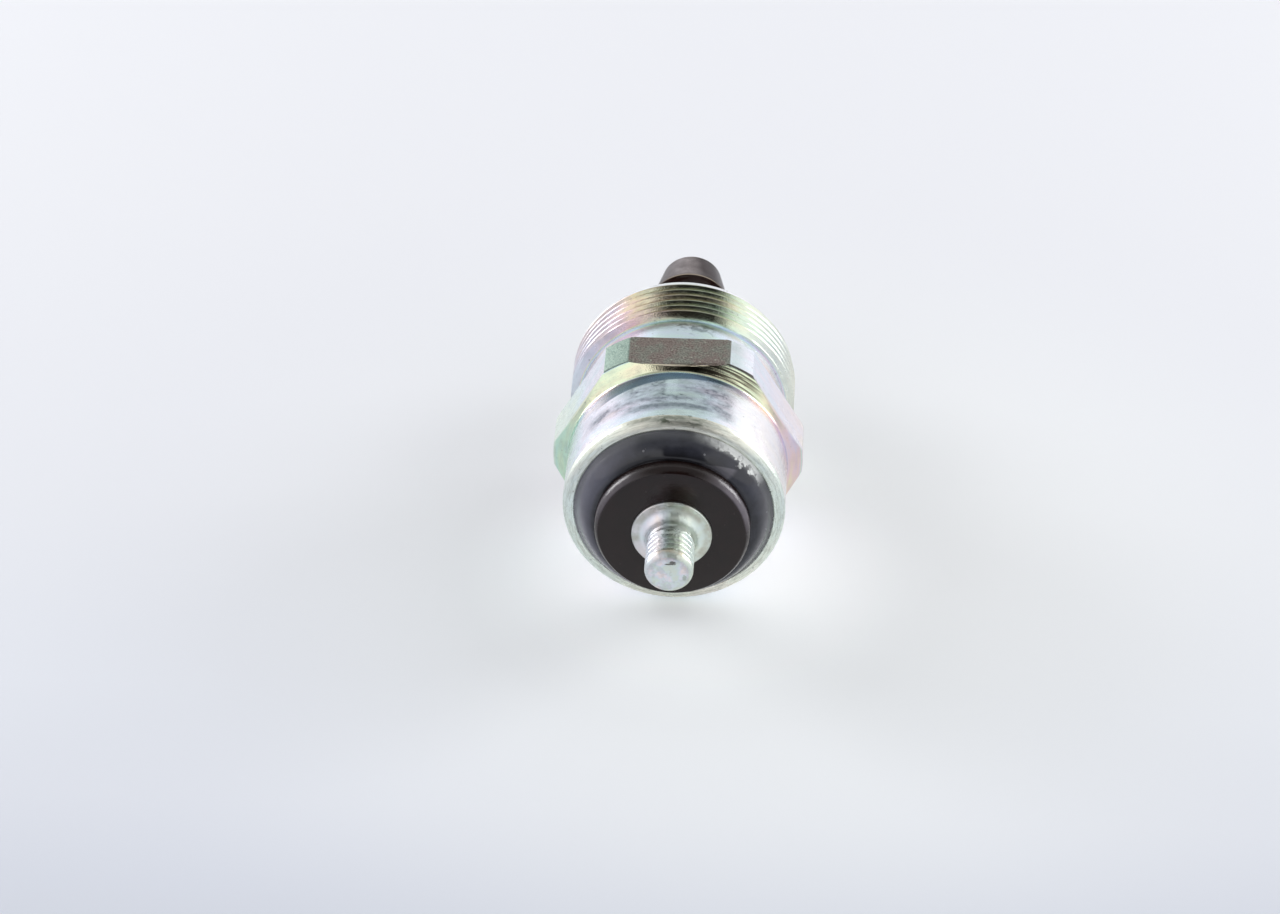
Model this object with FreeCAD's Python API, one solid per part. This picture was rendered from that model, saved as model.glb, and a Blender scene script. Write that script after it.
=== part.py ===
"""Fuel shutoff solenoid for a diesel injection pump: a screw-in electromagnet with a sprung valve plunger.

Millimetres. The solenoid lies on one flat of its hexagon with its axis level, as it does on a table.
+Y runs along the axis towards the valve plunger, -Y towards the terminal stud and +Z is up.
The origin is on the axis, in the shoulder face of the hexagon that seats against the pump head.

Turned pieces are closed outlines of (radius, place along Y), revolved about the Y axis.
"""
import FreeCAD
import Part

import math
import os

from FreeCAD import Vector

# Threaded end that screws into the pump head, M24 x 1
thread_radius = 12.0
thread_length = 6.2
relief_width = 3.1
relief_depth = 1.0
pilot_step = 0.7
pilot_length = 1.1
pilot_chamfer = 0.3

# Hexagon, cut from round stock, so that its corners stay round
spanner_width = 24.0
hex_corner_radius = 13.15
hex_length = 5.2
hex_chamfer_angle = 30.0
shoulder_edge_break = 0.2

# Round can behind the hexagon, rolled over at its open end
can_radius = 11.54
can_length = 9.2
lip_outer_round = 1.0
lip_thickness = 0.9
lip_edge_radius = 10.2

# Chamber for the coil, and the wider seat for the lid pieces
chamber_radius = 9.8
seat_radius = 10.8
seat_clearance = 0.1
nose_wall_thickness = 5.5

# Valve plunger, which is the magnet's armature
plunger_radius = 4.45
plunger_reach = 12.1
plunger_length = 22.2
plunger_stroke = 5.0
stop_gap = 0.1
exit_clearance = 0.2
exit_chamfer = 0.3
tail_chamfer = 0.3
nose_length = 5.2
nose_tip_radius = 3.2
nose_edge_break = 0.15

# Rubber seal moulded into the nose of the plunger
seal_radius = 2.3
seal_depth = 2.6
seal_root_radius = 2.7
seal_root_thickness = 0.8
seal_proud = 0.3
seal_edge_break = 0.2
seal_fit = 0.01

# Return spring and the two pockets that hold it
spring_pocket_radius = 2.5
plunger_pocket_depth = 10.0
core_pocket_depth = 5.0
spring_wire_radius = 0.3
spring_side_clearance = 0.3
spring_end_clearance = 0.03
spring_turns = 9
spring_wire_sides = 8

# Guide sleeve round the plunger and the pole core
sleeve_clearance = 0.08
sleeve_thickness = 0.5
sleeve_nose_depth = 2.6
sleeve_tail_overlap = 4.0
sleeve_fit = 0.03

# Fixed pole core and the yoke plate that closes the magnetic path
yoke_thickness = 2.0
core_fit = 0.03
spigot_radius = 3.0

# Coil wound on its moulded bobbin
bobbin_hub_thickness = 0.85
bobbin_flange_thickness = 1.8
bobbin_fit = 0.05
winding_radius = 9.0
winding_fit = 0.02
tape_thickness = 0.2

# Rubber rings that keep fuel out of the coil
ring_section = 1.1
ring_edge_break = 0.3
ring_fit = 0.02

# Moulded terminal insulator, with the sealing compound round it
insulator_flange_thickness = 1.4
boss_radius = 8.05
boss_height = 3.7
boss_edge_length = 0.7
boss_edge_depth = 0.45
compound_bed = 0.5
compound_fit = 0.03
compound_lip_drop = 0.3
compound_rise = 2.05
compound_shoulder_width = 0.85
compound_shoulder_drop = 0.25
compound_side_width = 0.6
compound_side_drop = 1.4

# Terminal stud, M5
stud_radius = 2.5
stud_height = 6.9
stud_chamfer_length = 0.9
stud_end_radius = 2.1
collar_radius = 4.15
collar_thickness = 0.35
collar_edge_break = 0.15
hub_radius = 3.2
hub_rise = 0.45
shank_radius = 2.0
shank_fit = 0.02

# Back of the stud, in a recess under the insulator
recess_radius = 5.0
recess_depth = 2.2
backing_radius = 3.9
backing_thickness = 0.6
rivet_radius = 2.9
rivet_thickness = 0.5
rivet_edge_break = 0.25
washer_clearance = 0.2
washer_thickness = 0.3

# Coil leads
lead_radius = 0.3
lead_circle_radius = 7.0
lead_bend_radius = 0.9
lead_hole_clearance = 0.15
lead_channel_clearance = 0.35
lead_end_fit = 0.02
bush_thickness = 0.5
bush_fit = 0.04
ground_hole_depth = 1.0

# Radii worked out from the sizes above
relief_radius = thread_radius - relief_depth
pilot_radius = thread_radius - pilot_step
exit_radius = plunger_radius + exit_clearance
sleeve_bore = plunger_radius + sleeve_clearance
sleeve_radius = sleeve_bore + sleeve_thickness
bobbin_bore = sleeve_radius + bobbin_fit
hub_outer = bobbin_bore + bobbin_hub_thickness
lid_radius = seat_radius - seat_clearance
ring_room = ring_section + 2 * ring_fit
bush_radius = lead_radius + bush_fit + bush_thickness

# Places along the axis, worked out from the sizes above
hex_back_y = -hex_length
mouth_y = hex_back_y - can_length
relief_end_y = relief_width
thread_start_y = relief_end_y + relief_depth
thread_end_y = thread_start_y + thread_length
pilot_start_y = thread_end_y + pilot_step
pilot_end_y = pilot_start_y + pilot_length

lip_under_y = mouth_y + lip_thickness
flange_top_y = lip_under_y + compound_bed
flange_under_y = flange_top_y + insulator_flange_thickness
seat_y = flange_under_y + yoke_thickness
chamber_end_y = pilot_end_y - nose_wall_thickness
sleeve_nose_y = chamber_end_y + sleeve_nose_depth
winding_back_y = seat_y + bobbin_flange_thickness
winding_nose_y = chamber_end_y - bobbin_flange_thickness

nose_base_y = pilot_end_y + plunger_reach
nose_tip_y = nose_base_y + nose_length
plunger_tail_y = nose_base_y - plunger_length
pole_face_y = plunger_tail_y - plunger_stroke - stop_gap
sleeve_tail_y = pole_face_y - sleeve_tail_overlap

boss_face_y = mouth_y - boss_height
stud_end_y = boss_face_y - stud_height
recess_top_y = flange_under_y - recess_depth
lead_turn_y = recess_top_y + backing_thickness / 2

axis = Vector(0, 1, 0)
centre = Vector(0, 0, 0)


def turned(start, *steps):
    """Revolves a closed outline about the Y axis.

    A step is the next point, or a pair of points: an arc through the first of them to the second.
    """
    edges = []
    here = Vector(start[0], start[1], 0)
    for step in steps + (start,):
        if isinstance(step[0], tuple):
            through, end = [Vector(radius, along, 0) for radius, along in step]
            edges.append(Part.Arc(here, through, end).toShape())
        else:
            end = Vector(step[0], step[1], 0)
            edges.append(Part.LineSegment(here, end).toShape())
        here = end
    return Part.Face(Part.Wire(edges)).revolve(centre, axis, 360)


def around(middle, radius, through_angle, end_angle):
    """The arc step round a middle, at angles from straight outwards (0) towards +Y (90)."""
    points = []
    for angle in (through_angle, end_angle):
        turn = math.radians(angle)
        points.append((middle[0] + radius * math.cos(turn), middle[1] + radius * math.sin(turn)))
    return tuple(points)


def ring(inner, outer, start, end):
    """A plain flat ring from start to end along the axis."""
    return turned((inner, start), (outer, start), (outer, end), (inner, end))


def rod(radius, start, end, height=0.0):
    """A straight round bar along Y, with its middle at a height above the axis."""
    return Part.makeCylinder(radius, end - start, Vector(0, start, height), axis)


def swept(path, radius):
    """A round section carried along a path."""
    first = path.Edges[0]
    at = first.valueAt(first.FirstParameter)
    along = first.tangentAt(first.FirstParameter)
    section = Part.Wire(Part.makeCircle(radius, at, along))
    return path.makePipeShell([section], True, True)


def make_housing():
    """Steel body turned in one piece: threaded nose, hexagon, and the can with its rolled lip."""
    slope = math.radians(hex_chamfer_angle)
    flat_distance = spanner_width / 2
    cone_start_y = hex_back_y + (hex_corner_radius - flat_distance) * math.tan(slope)
    cone_end_y = hex_back_y - (flat_distance - can_radius) * math.tan(slope)
    crown_radius = can_radius - lip_outer_round
    lip_inner_break = crown_radius - lip_edge_radius
    lip_outer = (crown_radius, mouth_y + lip_outer_round)
    body = turned(
        (lip_edge_radius, lip_under_y),
        (seat_radius, lip_under_y),
        (seat_radius, seat_y),
        (chamber_radius, seat_y),
        (chamber_radius, chamber_end_y),
        (sleeve_radius + sleeve_fit, chamber_end_y),
        (sleeve_radius + sleeve_fit, sleeve_nose_y),
        (exit_radius, sleeve_nose_y),
        (exit_radius, pilot_end_y - exit_chamfer),
        (exit_radius + exit_chamfer, pilot_end_y),
        (pilot_radius - pilot_chamfer, pilot_end_y),
        (pilot_radius, pilot_end_y - pilot_chamfer),
        (pilot_radius, pilot_start_y),
        (thread_radius, thread_end_y),
        (thread_radius, thread_start_y),
        (relief_radius, relief_end_y),
        (relief_radius, 0),
        (hex_corner_radius - shoulder_edge_break, 0),
        (hex_corner_radius, -shoulder_edge_break),
        (hex_corner_radius, cone_start_y),
        (can_radius, cone_end_y),
        (can_radius, lip_outer[1]),
        around(lip_outer, lip_outer_round, -45, -90),
        (lip_edge_radius, mouth_y + lip_inner_break),
    )
    for side in range(6):
        off_cut = Part.makeBox(2 * hex_corner_radius, hex_length, hex_corner_radius)
        off_cut.translate(Vector(-hex_corner_radius, hex_back_y, flat_distance))
        off_cut.rotate(centre, axis, 60 * side)
        body = body.cut(off_cut)
    ground_hole = rod(lead_radius + lead_hole_clearance, chamber_end_y,
                      chamber_end_y + ground_hole_depth, -lead_circle_radius)
    return body.cut(ground_hole)


def make_sealing_compound():
    """Cast ring that fills the mouth of the can and slopes up from the lip to the boss."""
    inner = boss_radius + compound_fit
    rim = lip_edge_radius - compound_fit
    rim_y = mouth_y + compound_lip_drop
    top_y = mouth_y - compound_rise
    return turned(
        (inner, flange_top_y),
        (lid_radius, flange_top_y),
        (lid_radius, lip_under_y),
        (rim, lip_under_y),
        (rim, rim_y),
        (rim - compound_side_width, rim_y - compound_side_drop),
        (inner + compound_shoulder_width, top_y + compound_shoulder_drop),
        (inner, top_y),
    )


def make_terminal_insulator():
    """Moulded lid: a flange held under the compound, and the boss that carries the stud."""
    boss = turned(
        (shank_radius + shank_fit, boss_face_y),
        (shank_radius + shank_fit, recess_top_y),
        (recess_radius, recess_top_y),
        (recess_radius, flange_under_y),
        (lid_radius, flange_under_y),
        (lid_radius, flange_top_y),
        (boss_radius, flange_top_y),
        (boss_radius, boss_face_y + boss_edge_length),
        (boss_radius - boss_edge_depth, boss_face_y),
    )
    reach = lead_circle_radius + lead_radius + lead_channel_clearance
    half_width = lead_radius + lead_channel_clearance
    channel_top_y = lead_turn_y - half_width
    channel = Part.makeBox(2 * half_width, flange_under_y - channel_top_y, reach)
    channel.translate(Vector(-half_width, channel_top_y, 0))
    keep = rod(recess_radius, channel_top_y, recess_top_y)
    return boss.cut(channel.cut(keep))


def make_terminal_stud():
    """Stud with its collar and hub on the boss, and its shank riveted over at the back."""
    collar_top_y = boss_face_y - collar_thickness
    hub_top_y = collar_top_y - hub_rise
    rivet_start_y = recess_top_y + backing_thickness
    rivet_end_y = rivet_start_y + rivet_thickness
    return turned(
        (0, stud_end_y),
        (stud_end_radius, stud_end_y),
        (stud_radius, stud_end_y + stud_chamfer_length),
        (stud_radius, hub_top_y),
        (hub_radius, collar_top_y),
        (collar_radius - collar_edge_break, collar_top_y),
        (collar_radius, collar_top_y + collar_edge_break),
        (collar_radius, boss_face_y),
        (shank_radius, boss_face_y),
        (shank_radius, rivet_start_y),
        (rivet_radius, rivet_start_y),
        (rivet_radius, rivet_end_y - rivet_edge_break),
        (rivet_radius - rivet_edge_break, rivet_end_y),
        (0, rivet_end_y),
    )


def make_stud_backing_washer():
    """Brass washer under the riveted end, where the feed lead is joined."""
    return ring(shank_radius + shank_fit, backing_radius, recess_top_y, recess_top_y + backing_thickness)


def make_insulating_washer():
    """Thin disc on the yoke plate that keeps the riveted stud off the core."""
    return rod(recess_radius - washer_clearance, flange_under_y - washer_thickness, flange_under_y)


def make_yoke_plate():
    """Round steel plate across the can, with holes for the core's spigot and the feed lead's bush."""
    plate = ring(spigot_radius + core_fit, lid_radius, flange_under_y, seat_y)
    return plate.cut(rod(bush_radius + bush_fit, flange_under_y, seat_y, lead_circle_radius))


def make_pole_core():
    """Fixed core: a spigot in the yoke plate, a shoulder, and the pole with the spring's pocket."""
    return turned(
        (0, flange_under_y),
        (spigot_radius, flange_under_y),
        (spigot_radius, seat_y),
        (sleeve_radius, seat_y),
        (sleeve_radius, sleeve_tail_y),
        (sleeve_bore - core_fit, sleeve_tail_y),
        (sleeve_bore - core_fit, pole_face_y),
        (spring_pocket_radius, pole_face_y),
        (spring_pocket_radius, pole_face_y - core_pocket_depth),
        (0, pole_face_y - core_pocket_depth),
    )


def make_guide_sleeve():
    """Thin brass tube that guides the plunger from the nose wall to the core."""
    return ring(sleeve_bore, sleeve_radius, sleeve_tail_y, sleeve_nose_y)


def make_coil_bobbin():
    """Moulded bobbin, with a pocket for a rubber ring in each end and a hole for a lead in each flange."""
    flange_radius = chamber_radius - bobbin_fit
    groove_radius = sleeve_radius + ring_room
    bobbin = turned(
        (groove_radius, seat_y),
        (flange_radius, seat_y),
        (flange_radius, winding_back_y),
        (hub_outer, winding_back_y),
        (hub_outer, winding_nose_y),
        (flange_radius, winding_nose_y),
        (flange_radius, chamber_end_y),
        (groove_radius, chamber_end_y),
        (groove_radius, chamber_end_y - ring_room),
        (bobbin_bore, chamber_end_y - ring_room),
        (bobbin_bore, seat_y + ring_room),
        (groove_radius, seat_y + ring_room),
    )
    hole_radius = lead_radius + lead_hole_clearance
    bobbin = bobbin.cut(rod(hole_radius, seat_y, winding_back_y, lead_circle_radius))
    return bobbin.cut(rod(hole_radius, winding_nose_y, chamber_end_y, -lead_circle_radius))


def make_coil_winding():
    """Copper winding that fills the bobbin between its flanges."""
    return ring(hub_outer + winding_fit, winding_radius, winding_back_y, winding_nose_y)


def make_winding_tape():
    """Layer of tape round the winding."""
    inner = winding_radius + winding_fit
    return ring(inner, inner + tape_thickness, winding_back_y, winding_nose_y)


def make_feed_lead():
    """Lead from the winding through the yoke plate, bent inwards to the stud's backing washer."""
    corner = Vector(0, lead_turn_y + lead_bend_radius, lead_circle_radius - lead_bend_radius)
    bend_end = corner + Vector(0, -lead_bend_radius, 0)
    bend_start = corner + Vector(0, 0, lead_bend_radius)
    middle = corner + Vector(0, -1, 1).normalize() * lead_bend_radius
    start = Vector(0, winding_back_y, lead_circle_radius)
    end = Vector(0, lead_turn_y, backing_radius + lead_end_fit)
    path = Part.Wire([
        Part.LineSegment(start, bend_start).toShape(),
        Part.Arc(bend_start, middle, bend_end).toShape(),
        Part.LineSegment(bend_end, end).toShape(),
    ])
    return swept(path, lead_radius)


def make_lead_bush():
    """Insulating bush round the feed lead, in the yoke plate."""
    inner = lead_radius + bush_fit
    bush = rod(bush_radius, flange_under_y, seat_y, lead_circle_radius)
    return bush.cut(rod(inner, flange_under_y, seat_y, lead_circle_radius))


def make_ground_lead():
    """Lead from the winding's other end into the nose wall, which is the earth."""
    return rod(lead_radius, winding_nose_y, chamber_end_y + ground_hole_depth, -lead_circle_radius)


def make_rubber_ring(pocket_y):
    """Rubber ring pressed square in its pocket, about the sleeve or the core."""
    inner = sleeve_radius + ring_fit
    outer = inner + ring_section
    start = pocket_y + ring_fit
    end = start + ring_section
    return turned(
        (inner + ring_edge_break, start),
        (outer - ring_edge_break, start),
        (outer, start + ring_edge_break),
        (outer, end - ring_edge_break),
        (outer - ring_edge_break, end),
        (inner + ring_edge_break, end),
        (inner, end - ring_edge_break),
        (inner, start + ring_edge_break),
    )


def make_return_spring():
    """Compression spring from the bottom of the core's pocket to the bottom of the plunger's."""
    inset = spring_wire_radius + spring_end_clearance
    start_y = pole_face_y - core_pocket_depth + inset
    end_y = plunger_tail_y + plunger_pocket_depth - inset
    coil_radius = spring_pocket_radius - spring_side_clearance - spring_wire_radius
    pitch = (end_y - start_y) / spring_turns
    path = Part.Wire(Part.makeHelix(pitch, end_y - start_y, coil_radius).Edges)
    along = path.Edges[0].tangentAt(0)
    outwards = Vector(1, 0, 0)
    sideways = along.cross(outwards)
    corners = []
    for corner in range(spring_wire_sides + 1):
        turn = 2 * math.pi * corner / spring_wire_sides
        reach = outwards * math.cos(turn) + sideways * math.sin(turn)
        corners.append(outwards * coil_radius + reach * spring_wire_radius)
    spring = path.makePipeShell([Part.makePolygon(corners)], True, True)
    spring.rotate(centre, outwards, -90)
    spring.translate(Vector(0, start_y, 0))
    return spring


def make_armature():
    """Valve plunger: a round bar with a tapered nose, the spring's pocket and the seal's socket."""
    pocket_y = plunger_tail_y + plunger_pocket_depth
    socket_y = nose_tip_y - seal_depth
    root_end_y = socket_y + seal_root_thickness
    return turned(
        (0, pocket_y),
        (spring_pocket_radius, pocket_y),
        (spring_pocket_radius, plunger_tail_y),
        (plunger_radius - tail_chamfer, plunger_tail_y),
        (plunger_radius, plunger_tail_y + tail_chamfer),
        (plunger_radius, nose_base_y - nose_edge_break),
        (plunger_radius - nose_edge_break, nose_base_y),
        (nose_tip_radius, nose_tip_y),
        (seal_radius, nose_tip_y),
        (seal_radius, root_end_y),
        (seal_root_radius, root_end_y),
        (seal_root_radius, socket_y),
        (0, socket_y),
    )


def make_plunger_seal():
    """Rubber plug keyed into the plunger's nose and standing just proud of it."""
    socket_y = nose_tip_y - seal_depth
    root_end_y = socket_y + seal_root_thickness
    face_y = nose_tip_y + seal_proud
    stem = seal_radius - seal_fit
    return turned(
        (0, socket_y),
        (seal_root_radius - seal_fit, socket_y),
        (seal_root_radius - seal_fit, root_end_y),
        (stem, root_end_y),
        (stem, face_y - seal_edge_break),
        (stem - seal_edge_break, face_y),
        (0, face_y),
    )


pieces = {
    "housing": make_housing(),
    "sealing_compound": make_sealing_compound(),
    "terminal_insulator": make_terminal_insulator(),
    "terminal_stud": make_terminal_stud(),
    "stud_backing_washer": make_stud_backing_washer(),
    "insulating_washer": make_insulating_washer(),
    "yoke_plate": make_yoke_plate(),
    "pole_core": make_pole_core(),
    "guide_sleeve": make_guide_sleeve(),
    "coil_bobbin": make_coil_bobbin(),
    "coil_winding": make_coil_winding(),
    "winding_tape": make_winding_tape(),
    "feed_lead": make_feed_lead(),
    "lead_bush": make_lead_bush(),
    "ground_lead": make_ground_lead(),
    "nose_ring": make_rubber_ring(chamber_end_y - ring_room),
    "yoke_ring": make_rubber_ring(seat_y),
    "return_spring": make_return_spring(),
    "armature": make_armature(),
    "plunger_seal": make_plunger_seal(),
}

os.makedirs("parts", exist_ok=True)
for name, shape in pieces.items():
    shape.exportStep(f"parts/{name}.step")
    print(name, shape.ShapeType, len(shape.Solids), shape.isValid(), round(shape.Volume, 2))
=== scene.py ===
"""Looks of a fuel shutoff solenoid: plated steel body, cast compound, moulded boss, stud and plunger.

Metres. The axis is Y, with the terminal stud at -Y and the valve plunger at +Y, and +Z is up.
Turned pieces start as outlines of (radius, place along Y) in millimetres, spun about the axis.
"""

import math

import bpy
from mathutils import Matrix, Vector, noise


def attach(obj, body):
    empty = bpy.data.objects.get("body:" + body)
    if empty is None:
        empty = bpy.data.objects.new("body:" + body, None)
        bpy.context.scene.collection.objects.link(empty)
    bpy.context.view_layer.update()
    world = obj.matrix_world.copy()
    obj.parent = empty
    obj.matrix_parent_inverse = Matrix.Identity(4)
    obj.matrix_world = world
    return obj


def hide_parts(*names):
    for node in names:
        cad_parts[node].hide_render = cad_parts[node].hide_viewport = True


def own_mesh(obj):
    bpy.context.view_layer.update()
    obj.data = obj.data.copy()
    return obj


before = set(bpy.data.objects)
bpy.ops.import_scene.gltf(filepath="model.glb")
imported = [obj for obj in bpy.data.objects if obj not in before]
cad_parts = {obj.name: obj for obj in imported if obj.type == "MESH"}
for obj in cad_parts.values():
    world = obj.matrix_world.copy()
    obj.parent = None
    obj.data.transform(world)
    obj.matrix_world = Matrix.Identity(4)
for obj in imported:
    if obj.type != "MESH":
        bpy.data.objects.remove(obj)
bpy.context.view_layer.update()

MM = 0.001
BODY = "solenoid_body"
PLUNGER = "plunger"

# Housing, in millimetres
HEX_FLAT = 12.0
HEX_CORNER = 13.15
HEX_BACK = -5.2
HEX_CHAMFER = math.radians(30)
HEX_EDGE = 0.2
CAN_RADIUS = 11.54
CAN_ROOT_ROUND = 0.4
CAN_RINGS = (-7.0, -9.0, -11.0)
MOUTH = -14.4
LIP_ROUND = 1.0
LIP_EDGE = 10.2
LIP_DEPTH = 0.9
SEAT_RADIUS = 10.8
YOKE_SEAT = -9.6
CHAMBER_RADIUS = 9.8
CHAMBER_END = 6.6
SLEEVE_BORE = 5.06
SLEEVE_END = 9.2
EXIT_RADIUS = 4.65
RELIEF_RADIUS = 11.0
RELIEF_END = 4.8
RELIEF_ROUND = 0.15
LEAD_IN_SLOPE = 3.0
THREAD_RADIUS = 12.0
THREAD_PITCH = 1.0
PILOT_RADIUS = 11.3
PILOT_START = 11.0
PILOT_END = 12.1
PILOT_EDGE = 0.3

# Lid pieces, in millimetres
FLANGE_TOP = -13.0
FLANGE_UNDER = -11.6
LID_RADIUS = 10.7
BOSS_RADIUS = 8.05
BOSS_FACE = -18.1
# The boss's rim as (inwards from its side, back from its face)
BOSS_RIM = ((0.0, 0.9), (0.05, 0.6), (0.17, 0.34), (0.36, 0.08), (0.45, 0.0))
COMPOUND_EDGE = 10.3
COMPOUND_UNDER_LIP = 0.92
COMPOUND_LIP_EDGE = 0.36
COMPOUND_LIP = -14.3
COMPOUND_BOSS = -16.45
COMPOUND_CURVE = 1.4
COMPOUND_FILLET = 0.8
COMPOUND_EASE = 0.8
COMPOUND_STEPS = 32
COMPOUND_WAVE = 0.06
COMPOUND_WAVE_SIZE = 2.2
COMPOUND_STILL_LIP = 0.1
COMPOUND_STILL_BOSS = 0.02
RECESS_RADIUS = 5.0
RECESS_TOP = -13.8
SHANK_RADIUS = 2.0

# Terminal stud, in millimetres
STUD_RADIUS = 2.5
STUD_END = -25.0
STUD_PITCH = 0.8
STUD_END_ROUND = 0.85
STUD_END_RINGS = (1.4, 1.1, 0.8, 0.5, 0.25, 0.0)
STUD_END_DOME = 0.03
STUD_END_LIFT = 0.04
STUD_END_FADE = 0.4
COLLAR_RADIUS = 4.15
COLLAR_TOP = -18.45
COLLAR_EDGE = 0.12
COLLAR_EDGE_DEPTH = 0.1
COLLAR_DIP = 0.01
HUB_TOP = -19.6
HUB_ROUND = 1.15
HUB_MARGIN = 0.2
HUB_FADE = 2.0
RIVET_START = -13.2
RIVET_END = -12.7
RIVET_RADIUS = 2.9
RIVET_EDGE = 0.3
RIVET_SIDE = 0.2

# Plunger, in millimetres
PLUNGER_RADIUS = 4.45
PLUNGER_TAIL = 2.0
PLUNGER_EDGE = 0.3
POCKET_RADIUS = 2.5
POCKET_END = 12.0
NOSE_BASE = 24.2
NOSE_TIP = 29.4
NOSE_RADIUS = 3.2
NOSE_EDGE = 0.12
NOSE_TIP_EDGE = 0.1
SEAL_RADIUS = 2.29
SEAL_FACE = 29.7
SEAL_EDGE = 0.2
SEAL_RING = 0.8
SOCKET = 26.8
SOCKET_ROOT_END = 27.6
SOCKET_ROOT_RADIUS = 2.69

# Return spring, in millimetres
SPRING_SEAT = -8.1
SPRING_TURNS = 9
SPRING_RADIUS = 1.9
WIRE_RADIUS = 0.3
WIRE_SIDES = 14
SPRING_STEPS = 40
SPRING_GAP = 0.03

# A thread's depth, its flats and the softening of its corners, as shares of the pitch
THREAD_DEPTH = 0.6134
CREST_FLAT = 0.125
ROOT_FLAT = 0.25
THREAD_DIP = 0.04

BODY_SEGMENTS = 180
STUD_SEGMENTS = 96
PLUNGER_SEGMENTS = 128
MERGE = 0.002 * MM
CORNER_TURN = math.radians(18)

# Where one zone of the housing's finish gives way to the next along the axis, in millimetres
CAN_ZONE = -13.3
CONE_ZONE = -5.62
HEX_ZONE = -4.62
RELIEF_ZONE = 0.02
THREAD_ZONE = RELIEF_END + 0.05
PILOT_ZONE = 10.75

# Thickness of the plating's film from the left side (-1) to the right side (1) of each zone
FILM_LEVELS = {
    "lip": [(-1.0, 0.78), (-0.6, 0.84), (-0.3, 1.04), (0.0, 0.98), (0.5, 1.08), (1.0, 0.8)],
    "can": [
        (-1.0, 0.8), (-0.82, 0.34), (-0.55, 0.4), (-0.2, 0.56), (0.0, 0.6), (0.4, 0.52), (0.62, 0.44),
        (0.78, 0.2), (1.0, 0.3)],
    "cone": [
        (-1.0, 0.82), (-0.85, 0.96), (-0.7, 1.1), (-0.4, 1.06), (0.0, 1.08), (0.4, 1.06), (0.75, 1.14),
        (1.0, 1.3)],
    "hexagon": [
        (-1.0, 0.82), (-0.92, 0.76), (-0.8, 0.42), (-0.5, 0.36), (-0.3, 0.62), (0.3, 0.56), (0.6, 0.5),
        (0.85, 0.38), (1.0, 0.24)],
    "relief": [(-1.0, 0.3), (-0.5, 0.42), (-0.25, 0.68), (0.25, 0.66), (0.5, 0.5), (1.0, 0.32)],
    "thread": [(-1.0, 1.4), (-0.6, 1.3), (-0.34, 1.17), (0.0, 1.1), (0.3, 1.0), (0.5, 0.96), (1.0, 1.02)],
    "pilot": [(-1.0, 0.4), (0.0, 0.6), (1.0, 0.4)],
}
FILM_IN_THREAD = [(-1.0, 0.3), (-0.7, 0.5), (-0.45, 0.78), (-0.3, 0.6), (0.4, 0.6), (0.75, 0.22), (1.0, 0.22)]
FILM_ON_CAN = [(-1.0, 0.26), (-0.5, 0.42), (0.3, 0.42), (0.6, 0.12), (1.0, 0.16)]
THREAD_ROUGHNESS = [(-1.0, 0.28), (-0.55, 0.24), (-0.35, 0.1), (0.4, 0.1), (0.7, 0.2), (1.0, 0.26)]
# Painted light and shade on the plunger's nose, from its left side (-1) to its right side (1)
NOSE_SHADE = [(-1.0, 0.9), (-0.35, 1.6), (0.0, 1.0), (0.35, 0.5), (0.7, 0.3), (0.9, 1.0), (1.0, 1.2)]

# Studio, in metres and degrees
FLOOR = -0.012
FLOOR_SIZE = 6.0
FLOOR_MIDDLE = (0.003, -0.008, 0)
POOL_MIDDLE = (0.012, -0.008, 0)
CAMERA_PLACE = (0.01484, -0.34967, 0.24756)
CAMERA_TILT = 54.37
CAMERA_YAW = 3.124
LENS = 113.5
SENSOR = 36.0
LAMP_PLACE = (0.43, 0.21, 0.11)
LAMP_WIDTH = 0.20
LAMP_HEIGHT = 0.28
LAMP_POWER = 1.15


# Modelling helpers

def deselect_all():
    """Leaves nothing selected, so that an operator only acts on what is picked next."""
    if bpy.context.mode != "OBJECT":
        bpy.ops.object.mode_set(mode="OBJECT")
    bpy.ops.object.select_all(action="DESELECT")


def activate(piece):
    """Makes a piece the only one selected."""
    deselect_all()
    piece.select_set(True)
    bpy.context.view_layer.objects.active = piece


def edit(piece):
    """Opens a piece in edit mode with everything picked."""
    activate(piece)
    bpy.ops.object.mode_set(mode="EDIT")
    bpy.ops.mesh.select_all(action="SELECT")


def close_edit():
    """Goes back to object mode."""
    bpy.ops.object.mode_set(mode="OBJECT")


def arc(middle, radius, start, end, count):
    """Points round a middle, from straight outwards (0) towards +Y (90)."""
    points = []
    for step in range(count + 1):
        turn = math.radians(start + (end - start) * step / count)
        points.append((middle[0] + radius * math.cos(turn), middle[1] + radius * math.sin(turn)))
    return points


def drawn(name, outline):
    """A wire through the outline's points, drawn by extruding one vertex from point to point."""
    deselect_all()
    first = outline[0]
    bpy.ops.mesh.primitive_plane_add(size=MM, location=(0, first[1] * MM, first[0] * MM))
    piece = bpy.context.object
    piece.name = name
    bpy.ops.object.transform_apply(location=True, rotation=True, scale=True)
    edit(piece)
    bpy.ops.mesh.merge(type="CENTER")
    here = first
    for point in outline[1:]:
        move = (0, (point[1] - here[1]) * MM, (point[0] - here[0]) * MM)
        bpy.ops.mesh.extrude_vertices_move(TRANSFORM_OT_translate={"value": move})
        here = point
    close_edit()
    return piece


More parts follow.
